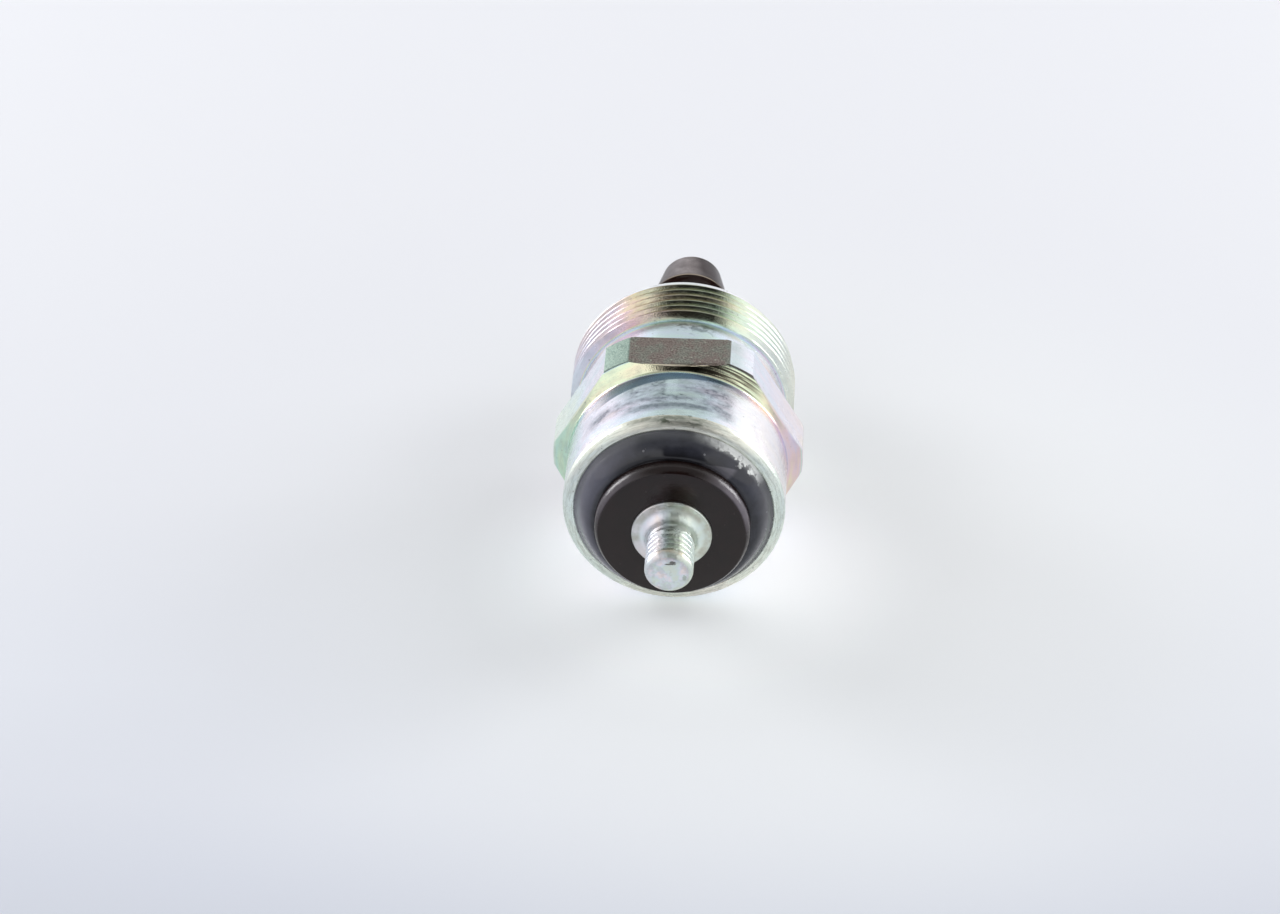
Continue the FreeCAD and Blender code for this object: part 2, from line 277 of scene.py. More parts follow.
def soften(piece, outline, width):
    """Rounds the sharp corners of a drawn outline."""
    places = []
    for before, corner, after in zip(outline, outline[1:], outline[2:]):
        arriving = Vector(corner) - Vector(before)
        leaving = Vector(after) - Vector(corner)
        if arriving.length > 0 and leaving.length > 0 and arriving.angle(leaving) > CORNER_TURN:
            places.append(Vector((0, corner[1] * MM, corner[0] * MM)))
    activate(piece)
    bpy.ops.object.mode_set(mode="EDIT")
    bpy.ops.mesh.select_mode(type="VERT")
    bpy.ops.mesh.select_all(action="DESELECT")
    bpy.ops.object.mode_set(mode="OBJECT")
    for vertex in piece.data.vertices:
        vertex.select = any((vertex.co - place).length < MERGE for place in places)
    bpy.ops.object.mode_set(mode="EDIT")
    bpy.ops.mesh.bevel(offset=width * MM, segments=2, affect="VERTICES", clamp_overlap=True)
    close_edit()


def turned(name, outline, segments, rounding=0.06):
    """Spins an outline about the Y axis into a shell."""
    piece = drawn(name, outline)
    if rounding:
        soften(piece, outline, rounding)
    edit(piece)
    bpy.ops.mesh.spin(steps=segments, angle=2 * math.pi, center=(0, 0, 0), axis=(0, 1, 0))
    bpy.ops.mesh.select_all(action="SELECT")
    bpy.ops.mesh.remove_doubles(threshold=MERGE)
    close_edit()
    return piece


def wound(piece, steps, turns, rise):
    """Winds an outline about the Y axis, with a rise in millimetres at each turn."""
    wind = piece.modifiers.new("wind", "SCREW")
    wind.axis = "Y"
    wind.angle = 2 * math.pi
    wind.steps = steps
    wind.render_steps = steps
    wind.iterations = turns
    wind.screw_offset = rise * MM
    wind.use_merge_vertices = False
    activate(piece)
    bpy.ops.object.modifier_apply(modifier="wind")


def merged(piece):
    """Merges the points that meet and drops faces without an area."""
    edit(piece)
    bpy.ops.mesh.remove_doubles(threshold=MERGE)
    bpy.ops.mesh.dissolve_degenerate(threshold=MERGE)
    close_edit()


def joined(name, pieces):
    """Makes one shell of several that meet edge to edge."""
    deselect_all()
    for piece in pieces:
        piece.select_set(True)
    bpy.context.view_layer.objects.active = pieces[0]
    bpy.ops.object.join()
    piece = bpy.context.object
    piece.name = name
    merged(piece)
    return piece


def thread_outline(pitch, crest):
    """One pitch of a thread as (radius, place along Y) from one root's middle to the next."""
    root = crest - THREAD_DEPTH * pitch
    half_root = ROOT_FLAT * pitch / 2
    half_crest = CREST_FLAT * pitch / 2
    middle = pitch / 2
    flank = (half_root + middle - half_crest) / 2
    dip = THREAD_DIP * pitch / 2
    halfway = (root + crest) / 2
    rising = [(root, 0), (root + dip, half_root), (halfway, flank), (crest - dip, middle - half_crest)]
    falling = [(radius, pitch - along) for radius, along in reversed(rising)]
    return rising + [(crest, middle)] + falling


def threaded(name, crest, pitch, start, end, segments, low, high):
    """A thread wound from start to end, held between a lowest and a highest radius at each place."""
    outline = thread_outline(pitch, crest)
    piece = drawn(name, [(radius, along + start - pitch) for radius, along in outline])
    wound(piece, segments, math.ceil((end - start) / pitch) + 2, pitch)
    for vertex in piece.data.vertices:
        along = min(max(vertex.co.y / MM, start), end)
        radius = math.hypot(vertex.co.x, vertex.co.z)
        wanted = min(max(radius / MM, low(along)), high(along)) * MM
        vertex.co.x *= wanted / radius
        vertex.co.z *= wanted / radius
        vertex.co.y = along * MM
    merged(piece)
    return piece


# Shader helpers

def is_socket(value):
    """Whether a value is a node's socket and not a constant."""
    return isinstance(value, bpy.types.NodeSocket)


def tree_of(*values):
    """The shader tree of the sockets among some values."""
    return next(value.id_data for value in values if is_socket(value))


def feed(socket, value):
    """Links a socket to a node's output, or gives it a constant."""
    if is_socket(value):
        socket.id_data.links.new(value, socket)
    else:
        socket.default_value = value


def new_group(name, inputs, outputs):
    """A shader node group with named sockets, its entry's outputs and its exit's inputs.

    Inputs come with their defaults, and a default's kind of value tells the kind of its socket.
    """
    group = bpy.data.node_groups.new(name, "ShaderNodeTree")
    kinds = {1: "NodeSocketFloat", 3: "NodeSocketVector", 4: "NodeSocketColor"}
    for label, default in inputs.items():
        kind = kinds[len(default) if isinstance(default, tuple) else 1]
        socket = group.interface.new_socket(label, in_out="INPUT", socket_type=kind)
        socket.default_value = default
    for label in outputs:
        kind = kinds[4 if label == "Color" else 1]
        group.interface.new_socket(label, in_out="OUTPUT", socket_type=kind)
    entry = group.nodes.new("NodeGroupInput").outputs
    leave = group.nodes.new("NodeGroupOutput").inputs
    return group, entry, leave


def add(tree, kind, links=None, **settings):
    """A node with its settings, whose inputs are values or the outputs of other nodes."""
    node = tree.nodes.new("ShaderNode" + kind)
    for key, value in settings.items():
        setattr(node, key, value)
    for key, value in (links or {}).items():
        feed(node.inputs[key], value)
    return node


def maths(operation, first, second=None):
    """The result of one operation on values or sockets."""
    links = {0: first} if second is None else {0: first, 1: second}
    return add(tree_of(first, second), "Math", links, operation=operation).outputs[0]


def chained(operation, values):
    """The result of one operation taken over a row of values."""
    result = values[0]
    for value in values[1:]:
        result = maths(operation, result, value)
    return result


def times(*values):
    """The product of several values."""
    return chained("MULTIPLY", values)


def plus(*values):
    """The total of several values."""
    return chained("ADD", values)


def most(*values):
    """The greatest of several values."""
    return chained("MAXIMUM", values)


def remap(value, low, high, to_low=0.0, to_high=1.0, smooth_ends=True):
    """Stretches a value's range onto another one, held at its ends."""
    kind = "SMOOTHSTEP" if smooth_ends else "LINEAR"
    links = {"Value": value, "From Min": low, "From Max": high, "To Min": to_low, "To Max": to_high}
    return add(value.id_data, "MapRange", links, interpolation_type=kind).outputs["Result"]


def ramp(value, stops):
    """A colour from a row of (position, colour) stops."""
    node = add(value.id_data, "ValToRGB", {"Fac": value})
    elements = node.color_ramp.elements
    while len(elements) < len(stops):
        elements.new(0.5)
    for element, (position, colour) in zip(elements, stops):
        element.position = position
        element.color = (*colour, 1)
    return node.outputs["Color"]


def opaque(colour):
    """A colour with full alpha, or the socket that gives one."""
    return colour if is_socket(colour) else (*colour, 1)


def mixed(factor, first, second, kind="MIX"):
    """Two colours mixed by a factor."""
    links = {0: factor, 6: opaque(first), 7: opaque(second)}
    return add(tree_of(*links.values()), "Mix", links, data_type="RGBA", blend_type=kind).outputs[2]


def laid(base, colour, share, *masks):
    """A colour with another one laid over it, up to a share, where all the masks are."""
    return mixed(times(*masks, share), base, colour)


def blend(factor, first, second):
    """Two values mixed by a factor."""
    links = {0: factor, 2: first, 3: second}
    return add(tree_of(*links.values()), "Mix", links, data_type="FLOAT").outputs[0]


def between(value, low, high, soft):
    """One where a value lies between two others, with soft ends."""
    rising = remap(value, low - soft, low + soft)
    falling = remap(value, high - soft, high + soft, 1.0, 0.0)
    return times(rising, falling)


def window(place, **spans):
    """One where a point's named places all lie in their spans of (low, high, soft)."""
    return times(*[between(place[name], *span) for name, span in spans.items()])


def layered(along, first, steps, soft=0.06):
    """A value that changes at places along the axis."""
    result = first
    for place, value in steps:
        gate = remap(along, place - soft, place + soft)
        result = blend(gate, result, value)
    return result


def by_zone(place, lip, *others):
    """A value that changes from zone to zone: lip, can, cone, hexagon, relief, thread and pilot."""
    starts = (CAN_ZONE, CONE_ZONE, HEX_ZONE, RELIEF_ZONE, THREAD_ZONE, PILOT_ZONE)
    return layered(place["Along"], lip, zip(starts, others))


def levels(value, stops):
    """A value from 0 to 2, read from a row of (place from -1 to 1, level) stops."""
    spread = remap(value, -1.0, 1.0, smooth_ends=False)
    halved = ramp(spread, [((place + 1) / 2, (level / 2,) * 3) for place, level in stops])
    return times(halved, 2.0)


def centred(mask, reach):
    """A mask turned into a swing of up to the reach to either side of nothing."""
    return times(maths("SUBTRACT", mask, 0.5), 2 * reach)


def scaled_from(value, centre, half_width):
    """How far a value lies from a centre, where one is at the half width."""
    return maths("DIVIDE", maths("SUBTRACT", value, centre), half_width)


def blot(place, centre, half_width, half_height, ragged=0.0):
    """A ragged oval spot seen along the axis, with its centre as (across, height)."""
    wide = scaled_from(place["Across"], centre[0], half_width)
    tall = scaled_from(place["Height"], centre[1], half_height)
    apart = plus(times(wide, wide), times(tall, tall), ragged)
    return remap(apart, 1.5, 0.7)


def make_place_group():
    """Where a point lies on a turned piece, in millimetres, with its angle from the top in degrees."""
    labels = ("Side", "Angle", "Along", "Radius", "Across", "Height")
    group, _, leave = new_group("turned_place", {}, labels)
    where = add(group, "TexCoord").outputs["Object"]
    scaled = add(group, "VectorMath", {0: where, "Scale": 1 / MM}, operation="SCALE").outputs[0]
    parts = add(group, "SeparateXYZ", {0: scaled}).outputs
    angle = maths("ARCTAN2", parts["X"], parts["Z"])
    flat = add(group, "CombineXYZ", {"X": parts["X"], "Z": parts["Z"]}).outputs[0]
    radius = add(group, "VectorMath", {0: flat}, operation="LENGTH").outputs["Value"]
    values = (maths("DIVIDE", parts["X"], radius), times(angle, 180 / math.pi),
              parts["Y"], radius, parts["X"], parts["Z"])
    for label, value in zip(labels, values):
        feed(leave[label], value)
    return group


def make_cloud_group():
    """Soft uneven patches: Size in millimetres, spread between Low and High."""
    inputs = {"Size": 3.0, "Detail": 4.0, "Low": 0.35, "High": 0.65, "Shift": (0, 0, 0)}
    group, entry, leave = new_group("clouds", inputs, ["Mask"])
    where = add(group, "TexCoord").outputs["Object"]
    scale = maths("DIVIDE", 1 / MM, entry["Size"])
    moved = add(group, "VectorMath", {0: where, 1: entry["Shift"]}, operation="ADD").outputs[0]
    links = {"Vector": moved, "Scale": scale, "Detail": entry["Detail"], "Roughness": 0.6}
    cloud = add(group, "TexNoise", links).outputs[0]
    feed(leave["Mask"], remap(cloud, entry["Low"], entry["High"]))
    return group


def make_streak_group():
    """Patches drawn out round the axis, as handling and machining leave them: Size and Stretch."""
    inputs = {"Size": 0.5, "Stretch": 8.0, "Low": 0.4, "High": 0.65}
    group, entry, leave = new_group("streaks", inputs, ["Mask"])
    place = use_in(group, "place")
    round_way = times(place["Angle"], math.radians(CAN_RADIUS))
    round_way = maths("DIVIDE", round_way, entry["Stretch"])
    spread = add(group, "CombineXYZ", {"X": round_way, "Y": place["Along"], "Z": place["Radius"]}).outputs[0]
    scale = maths("DIVIDE", 1.0, entry["Size"])
    links = {"Vector": spread, "Scale": scale, "Detail": 4.0, "Roughness": 0.6}
    cloud = add(group, "TexNoise", links).outputs[0]
    feed(leave["Mask"], remap(cloud, entry["Low"], entry["High"]))
    return group


def make_turning_group():
    """Fine rings left by a lathe tool: Spacing in millimetres and how Uneven they are."""
    group, entry, leave = new_group("turning_marks", {"Spacing": 0.12, "Uneven": 0.5}, ["Height"])
    place = use_in(group, "place")
    reach = plus(place["Along"], times(place["Radius"], 0.9))
    steps = maths("DIVIDE", reach, entry["Spacing"])
    links = {"W": steps, "Scale": 1.0, "Detail": 2.0}
    rings = add(group, "TexNoise", links, noise_dimensions="1D").outputs[0]
    even = maths("SINE", times(steps, 2 * math.pi))
    even = plus(times(even, 0.5), 0.5)
    feed(leave["Height"], blend(entry["Uneven"], even, rings))
    return group


def make_speck_group():
    """Small scattered specks: Size and Gap in millimetres, and the Share of places that hold one."""
    group, entry, leave = new_group("specks", {"Size": 0.08, "Gap": 0.8, "Share": 0.5}, ["Mask"])
    where = add(group, "TexCoord").outputs["Object"]
    scale = maths("DIVIDE", 1 / MM, entry["Gap"])
    cells = add(group, "TexVoronoi", {"Vector": where, "Scale": scale}).outputs
    apart = times(cells["Distance"], entry["Gap"])
    chance = add(group, "SeparateColor", {0: cells["Color"]}).outputs
    reach = times(entry["Size"], plus(chance[1], 0.4))
    spot = remap(apart, reach, times(reach, 0.5))
    kept = maths("LESS_THAN", chance[0], entry["Share"])
    feed(leave["Mask"], times(spot, kept))
    return group


def make_film_group():
    """Colour of a metal under a clear film, which runs through a ring of tints as its Thickness grows."""
    inputs = {"Thickness": 0.5, "Strength": 0.5, "Metal": (0.8, 0.8, 0.8, 1)}
    group, entry, leave = new_group("plating_film", inputs, ["Color"])
    turn = maths("FRACT", entry["Thickness"])
    tint = ramp(turn, [
        (0.0, (0.80, 0.90, 0.48)), (0.12, (0.96, 0.80, 0.42)), (0.25, (0.92, 0.58, 0.62)),
        (0.38, (0.70, 0.62, 0.94)), (0.52, (0.42, 0.68, 0.94)), (0.66, (0.40, 0.82, 0.82)),
        (0.80, (0.50, 0.88, 0.58)), (1.0, (0.80, 0.90, 0.48))])
    shaded = mixed(entry["Strength"], (1, 1, 1), tint)
    feed(leave["Color"], mixed(1.0, entry["Metal"], shaded, "MULTIPLY"))
    return group


GROUPS = {}


def use_in(tree, name, **values):
    """Places one of the shared groups, with its values or links."""
    node = tree.nodes.new("ShaderNodeGroup")
    node.node_tree = GROUPS[name]
    for key, value in values.items():
        feed(node.inputs[key], value)
    return node.outputs


GROUPS["place"] = make_place_group()
GROUPS["clouds"] = make_cloud_group()
GROUPS["streaks"] = make_streak_group()
GROUPS["turning"] = make_turning_group()
GROUPS["specks"] = make_speck_group()
GROUPS["film"] = make_film_group()


def cloud_mask(tree, size, low=0.35, high=0.65, detail=4.0, shift=(0, 0, 0)):
    """A mask of soft uneven patches."""
    return use_in(tree, "clouds", Size=size, Detail=detail, Low=low, High=high, Shift=shift)["Mask"]


def streak_mask(tree, size, stretch, low, high):
    """A mask of patches drawn out round the axis."""
    return use_in(tree, "streaks", Size=size, Stretch=stretch, Low=low, High=high)["Mask"]


def speck_mask(tree, size, gap, share):
    """A mask of small scattered specks."""
    return use_in(tree, "specks", Size=size, Gap=gap, Share=share)["Mask"]


def ring_height(tree, spacing, uneven):
    """The height of fine turned rings."""
    return use_in(tree, "turning", Spacing=spacing, Uneven=uneven)["Height"]


def new_material(name):
    """A material with an empty Principled shader."""
    material = bpy.data.materials.new(name)
    material.use_nodes = True
    tree = material.node_tree
    return material, tree, tree.nodes["Principled BSDF"]


def finished(shader, colour, roughness, **others):
    """Feeds the shader its colour, its roughness and any others of its inputs."""
    feed(shader.inputs["Base Color"], colour)
    feed(shader.inputs["Roughness"], roughness)
    for name, value in others.items():
        feed(shader.inputs[name.replace("_", " ")], value)


def bumped(shader, height, distance, strength=1.0):
    """Feeds a height to the shader's normal; a height of one stands for a distance in millimetres."""
    links = {"Height": height, "Distance": distance * MM, "Strength": strength}
    bump = add(shader.id_data, "Bump", links)
    feed(shader.inputs["Normal"], bump.outputs["Normal"])


def housing_film(tree, place):
    """Thickness and strength of the plating's film over the housing's parts."""
    side = place["Side"]
    drift = cloud_mask(tree, 7.0, 0.25, 0.75)
    ripple = streak_mask(tree, 1.4, 7.0, 0.3, 0.7)
    thickness = by_zone(place, *[levels(side, stops) for stops in FILM_LEVELS.values()])
    thickness = plus(thickness, centred(drift, 0.08), centred(ripple, 0.09))
    can = blend(remap(place["Along"], -7.0, -6.0), levels(side, FILM_ON_CAN), 0.8)
    strength = by_zone(place, 0.24, can, 0.62, 0.3, 0.42, levels(side, FILM_IN_THREAD), 0.12)
    return thickness, strength


def housing_stain_and_painted_reflection(tree, place):
    """Dark mottling on top of the can, part discolouring and part painted dark reflection, and the darker
    marks on its rolled lip.
    """
    wide = streak_mask(tree, 1.5, 1.8, 0.36, 0.6)
    fine = streak_mask(tree, 0.42, 1.6, 0.36, 0.62)
    patches = times(wide, blend(fine, 0.35, 1.0))
    grit = cloud_mask(tree, 0.35, shift=(0.003, 0.001, 0))
    middle = window(place, Angle=(-28, 25, 6), Along=(-12.1, -6.6, 0.5))
    left = window(place, Angle=(-52, -20, 6), Along=(-11.2, -8.9, 0.5))
    right = window(place, Angle=(12, 30, 4), Along=(-12.3, -7.4, 0.8))
    ring = window(place, Along=(-11.9, -11.0, 0.3), Angle=(-22, 20, 6))
    pale = window(place, Angle=(-5.5, 0.5, 1.5), Along=(-9.6, -6.5, 0.5))
    shade = most(blend(patches, 0.28, 1.0), times(ring, 0.9))
    shade = times(shade, blend(pale, 1.0, 0.3))
    stain_and_painted_reflection = times(most(middle, left, right), shade, blend(grit, 0.75, 1.0))
    marks = times(window(place, Along=(-14.2, -13.2, 0.15), Angle=(-8, 14, 4)),
                  streak_mask(tree, 0.9, 1.4, 0.48, 0.58))
    line = times(window(place, Along=(-13.85, -13.35, 0.12), Angle=(-24, 18, 8)),
                 blend(fine, 0.35, 1.0), 0.75)
    return stain_and_painted_reflection, most(marks, line)


def hexagon_patches(tree, place, metal):
    """The rough seat on the top flat and the coarse corners beside it, laid over the metal's colour."""
    belt = (-4.9, 0.0, 0.02)
    seat = window(place, Height=(11.96, 12.04, 0.01), Along=belt, Across=(-5.35, 5.35, 0.06))
    grain = cloud_mask(tree, 0.2, 0.36, 0.64, 3.0)
    broad = cloud_mask(tree, 1.6, 0.4, 0.6, shift=(0.004, 0, 0))
    chips = speck_mask(tree, 0.12, 0.42, 0.3)
    brown = mixed(grain, (0.145, 0.115, 0.10), (0.295, 0.25, 0.225))
    mossy = mixed(grain, (0.14, 0.16, 0.13), (0.30, 0.34, 0.29))
    brown = laid(brown, mossy, 0.6, broad)
    brown = laid(brown, (0.50, 0.56, 0.46), 0.5, chips)
    corner = times(window(place, Angle=(-36.5, -23.5, 0.4), Along=belt),
                   remap(place["Radius"], 13.0, 13.05))
    other = times(window(place, Angle=(23.0, 31.0, 4.0), Along=belt),
                  remap(place["Radius"], 12.9, 13.0), 0.4)
    green = mixed(grain, (0.23, 0.31, 0.27), (0.37, 0.47, 0.41))
    metal = mixed(seat, metal, brown)
    metal = mixed(corner, metal, green)
    metal = mixed(other, metal, green)
    return metal, most(seat, corner, other)


def make_plated_steel():
    """Steel under a thin coloured zinc plating, with discoloured, worn and rough places, painted dark
    reflections and a painted shadow below the cone.
    """
    material, tree, shader = new_material("coloured_zinc_plate")
    place = use_in(tree, "place")
    side = place["Side"]
    angle = place["Angle"]
    along = place["Along"]
    thickness, strength = housing_film(tree, place)
    facing = add(tree, "LayerWeight", {"Blend": 0.35}).outputs["Facing"]
    thickness = plus(thickness, centred(facing, 0.06))
    bare = (0.88, 0.88, 0.87, 1)
    metal = use_in(tree, "film", Thickness=thickness, Strength=strength, Metal=bare)["Color"]

    stain_and_painted_reflection, marks = housing_stain_and_painted_reflection(tree, place)
    stain_and_reflection_colour = mixed(1.0, metal, (0.09, 0.10, 0.125), "MULTIPLY")
    # Discolouring mixed with painted dark reflection on top of the can.
    metal = laid(metal, stain_and_reflection_colour, 0.88, stain_and_painted_reflection)
    worn = cloud_mask(tree, 2.4, 0.42, 0.62, 6.0, (0.05, 0.01, 0))
    tired = streak_mask(tree, 0.45, 3.0, 0.46, 0.66)
    wear = plus(times(worn, 0.16), times(tired, 0.14))
    wear = times(wear, levels(side, [(-1.0, 1.0), (0.3, 1.0), (0.6, 0.35), (1.0, 0.5)]),
                 layered(along, 0.5, [(CAN_ZONE, 1.0), (RELIEF_ZONE, 0.15), (RELIEF_END, 0.9)]))
    metal = mixed(wear, metal, (0.20, 0.21, 0.24))
    leaning = maths("SUBTRACT", along, times(angle, 0.024))
    shadow = times(remap(leaning, -7.0, -6.7), remap(along, -5.65, -5.85), between(angle, -42, 30, 9))
    metal = laid(metal, (0.03, 0.08, 0.13), 0.8, shadow)
    thread = (RELIEF_END + 0.2, 10.8, 0.15)
    # Painted dark reflection: the middle of the thread is darkened.
    thread_painted_dark_reflection = window(place, Along=thread, Angle=(-27, 20, 7))
    metal = laid(metal, (0.18, 0.14, 0.125), 0.36, thread_painted_dark_reflection, blend(tired, 0.7, 1.0))
    dusty = window(place, Along=thread, Angle=(-62, -20, 10))
    metal = laid(metal, (0.42, 0.38, 0.38), 0.3, dusty, blend(worn, 0.4, 1.0))
    dull = between(along, -14.5, -13.35, 0.12)
    smudge = streak_mask(tree, 0.5, 5.0, 0.35, 0.65)
    dull_top = times(dull, between(angle, -75, 48, 14), blend(smudge, 0.35, 1.0))
    metal = laid(metal, (0.70, 0.67, 0.58), 0.5, dull_top)
    rolled = streak_mask(tree, 0.14, 9.0, 0.45, 0.62)
    metal = laid(metal, (0.30, 0.31, 0.25), 0.35, rolled, dull)
    metal = laid(metal, (0.10, 0.13, 0.08), 0.85, marks)
    spots = times(streak_mask(tree, 0.8, 1.6, 0.46, 0.6),
                  window(place, Along=(2.5, 4.4, 0.3), Angle=(-6, 17, 3)))
    metal = laid(metal, (0.12, 0.17, 0.16), 0.6, spots)
    metal, coarse = hexagon_patches(tree, place, metal)
    scored = times(window(place, Along=(-5.5, -4.5, 0.05), Angle=(-2, 42, 8)),
                   streak_mask(tree, 0.16, 40.0, 0.44, 0.54))
    metal = laid(metal, (0.05, 0.035, 0.02), 0.92, scored)
    metal = laid(metal, (0.26, 0.27, 0.25), 0.55, speck_mask(tree, 0.10, 0.62, 0.45))

    uneven = cloud_mask(tree, 0.8, 0.35, 0.7, shift=(0.02, 0, 0))
    rough = by_zone(place, 0.24, 0.2, 0.08, 0.2, 0.17, levels(side, THREAD_ROUGHNESS), 0.2)
    rough = plus(rough, times(uneven, 0.05), times(wear, 0.4))
    rough = blend(times(stain_and_painted_reflection, 0.6), rough, 0.42)
    rough = blend(times(dull_top, 0.7), rough, 0.42)
    finished(shader, metal, blend(coarse, rough, 0.55), Metallic=1.0)

    depth = by_zone(place, 0.12, 0.12, 0.03, 0.1, 0.1, 0.02, 0.08)
    pits = cloud_mask(tree, 0.2, 0.3, 0.7, 3.0)
    sparkle = cloud_mask(tree, 0.14, 0.3, 0.7, 2.0, (0, 0.03, 0))
    height = plus(times(ring_height(tree, 0.11, 0.85), depth), times(pits, coarse),
                  times(uneven, depth), times(sparkle, 0.09))
    bumped(shader, height, 0.03)
    return material


def make_stud_zinc():
    """Pale zinc of the stud: a painted dark reflection along the top of its thread, painted shade in its
    thread's hollows and round its end's rim, rusty near its scuffed and dented end.
    """
    material, tree, shader = new_material("pale_zinc")
    place = use_in(tree, "place")
    along = place["Along"]
    radius = place["Radius"]
    patch = cloud_mask(tree, 1.3, 0.3, 0.7, 2.0)
    fine = cloud_mask(tree, 0.22, shift=(0.01, 0, 0))
    side_tint = levels(place["Side"], [(-1.0, 0.5), (-0.5, 0.3), (0.0, 0.82), (0.5, 0.84), (1.0, 0.8)])
    thickness = layered(along, blend(patch, 0.3, 0.75), [(-24.9, side_tint)], 0.03)
    thickness = plus(thickness, centred(patch, 0.08))
    metal = use_in(tree, "film", Thickness=thickness, Strength=0.26, Metal=(0.90, 0.90, 0.88, 1))["Color"]
    shank = between(along, -24.35, -19.0, 0.3)
    # Painted dark reflection: a darker band along the top of the thread.
    painted_reflection_band = times(shank, between(place["Angle"], -34, 30, 18))
    metal = laid(metal, (0.20, 0.25, 0.19), blend(patch, 0.14, 0.34), painted_reflection_band)
    # Painted shade: the thread's hollows are darkened.
    painted_hollow_shade = times(shank, remap(radius, 2.45, 2.15))
    metal = laid(metal, (0.14, 0.16, 0.13), 0.1, painted_hollow_shade)
    collar = window(place, Radius=(3.3, 4.2, 0.25), Along=(-18.9, -18.0, 0.05))
    metal = laid(metal, (0.40, 0.37, 0.30), blend(patch, 0.25, 0.7), collar)
    rust = window(place, Along=(-24.5, -23.9, 0.2), Angle=(-30, 62, 16))
    metal = laid(metal, (0.46, 0.27, 0.13), 0.6, rust, blend(patch, 0.3, 1.0))
    on_end = remap(along, -24.7, -24.9)
    ragged = centred(fine, 0.5)
    pit = blot(place, (0.42, 1.42), 0.30, 0.22, ragged)
    scratch = blot(place, (-0.02, 1.26), 0.34, 0.07, ragged)
    dent = times(most(pit, scratch), on_end)
    metal = laid(metal, (0.035, 0.03, 0.022), 0.92, dent)
    moss = times(blot(place, (1.6, -0.4), 0.2, 0.34, ragged), remap(along, -24.2, -24.5))
    metal = laid(metal, (0.24, 0.32, 0.20), 0.5, moss)
    # Painted shade: a darker ring round the rim of the blunt end.
    painted_rim_shade = times(remap(radius, 1.5, 2.3), remap(along, -24.0, -24.5))
    metal = laid(metal, (0.26, 0.26, 0.20), 0.3, painted_rim_shade, blend(fine, 0.5, 1.0))
    metal = laid(metal, (0.48, 0.46, 0.47), 0.22, patch, on_end)
    scuffs = cloud_mask(tree, 0.85, 0.46, 0.62, shift=(0.006, 0, 0.002))
    metal = laid(metal, (0.36, 0.36, 0.33), 0.24, scuffs, on_end)
    metal = laid(metal, (0.22, 0.22, 0.20), 0.35, speck_mask(tree, 0.08, 0.6, 0.35))
    rough = layered(along, 0.4, [(-24.45, 0.27), (-20.0, 0.36)], 0.4)
    finished(shader, metal, plus(rough, times(fine, 0.07)), Metallic=1.0)
    height = plus(times(ring_height(tree, 0.09, 0.8), 0.06), times(patch, 1.1), times(dent, -2.5))
    bumped(shader, height, 0.03)
    return material


def make_compound_finish():
    """Dark slate resin with a wet gloss, trapped specks, a pale sealant haze and ragged rim by the lip with a
    painted glare over them, a painted reflection on its left, a painted glint and painted shade on top beside
    the boss.
    """
    material, tree, shader = new_material("cast_slate")
    place = use_in(tree, "place")
    angle = place["Angle"]
    radius = place["Radius"]
    patch = cloud_mask(tree, 2.2, 0.3, 0.7)
    base = mixed(patch, (0.024, 0.025, 0.032), (0.040, 0.042, 0.055))
    specks = speck_mask(tree, 0.13, 1.05, 0.33)
    base = laid(base, (0.34, 0.34, 0.36), 0.5, specks)
    film = remap(radius, 9.6, 10.2)
    wisps = cloud_mask(tree, 0.7, 0.3, 0.7, shift=(0, 0.004, 0))
    # A pale sealant haze by the lip on the upper right, with a painted glare from the lip laid into it.
    smear_and_painted_glare = times(between(angle, 18, 60, 10), blend(wisps, 0.4, 1.0))
    base = laid(base, (0.72, 0.74, 0.72), plus(times(smear_and_painted_glare, 0.9), 0.10), film)
    shreds = cloud_mask(tree, 1.0, 0.25, 0.75, 2.5, (0.002, 0, 0.001))
    ragged = plus(radius, centred(shreds, 0.4))
    # The ragged pale rim by the lip is partly sealant and partly painted glare.
    pale_edge_and_painted_glare = times(remap(ragged, 9.72, 9.98), between(angle, 28, 60, 7))
    base = laid(base, (0.93, 0.95, 0.92), 0.9, pale_edge_and_painted_glare)
    hazy_sides = most(between(angle, -175, -95, 30), times(between(angle, 70, 150, 30), 0.45))
    base = laid(base, (0.52, 0.50, 0.54), 0.3, remap(radius, 8.6, 10.1), hazy_sides)
    # Painted reflection: the left side of the resin is lightened with a bluish lavender.
    painted_light_lift = times(between(angle, -150, -38, 22), remap(radius, 8.1, 8.7))
    base = laid(base, (0.46, 0.45, 0.58), 0.13, painted_light_lift)
    leaning = maths("SUBTRACT", radius, times(angle, 0.045))
    glint = times(between(angle, 21, 44, 2), remap(leaning, 7.38, 7.23))
    base = laid(base, (0.50, 0.47, 0.54), 0.2, glint)
    shaded = times(remap(radius, 9.5, 8.3), between(angle, -45, 36, 14))
    base = laid(base, (0.008, 0.007, 0.007), 0.75, shaded)
    rough = blend(most(pale_edge_and_painted_glare, times(film, smear_and_painted_glare)), 0.09, 0.35)
    finished(shader, base, plus(rough, times(patch, 0.05)), IOR=1.46)
    waves = cloud_mask(tree, 3.0, 0.2, 0.8, 1.0, (0.006, 0, 0.002))
    bumped(shader, plus(waves, times(specks, 0.25)), 0.05)
    return material


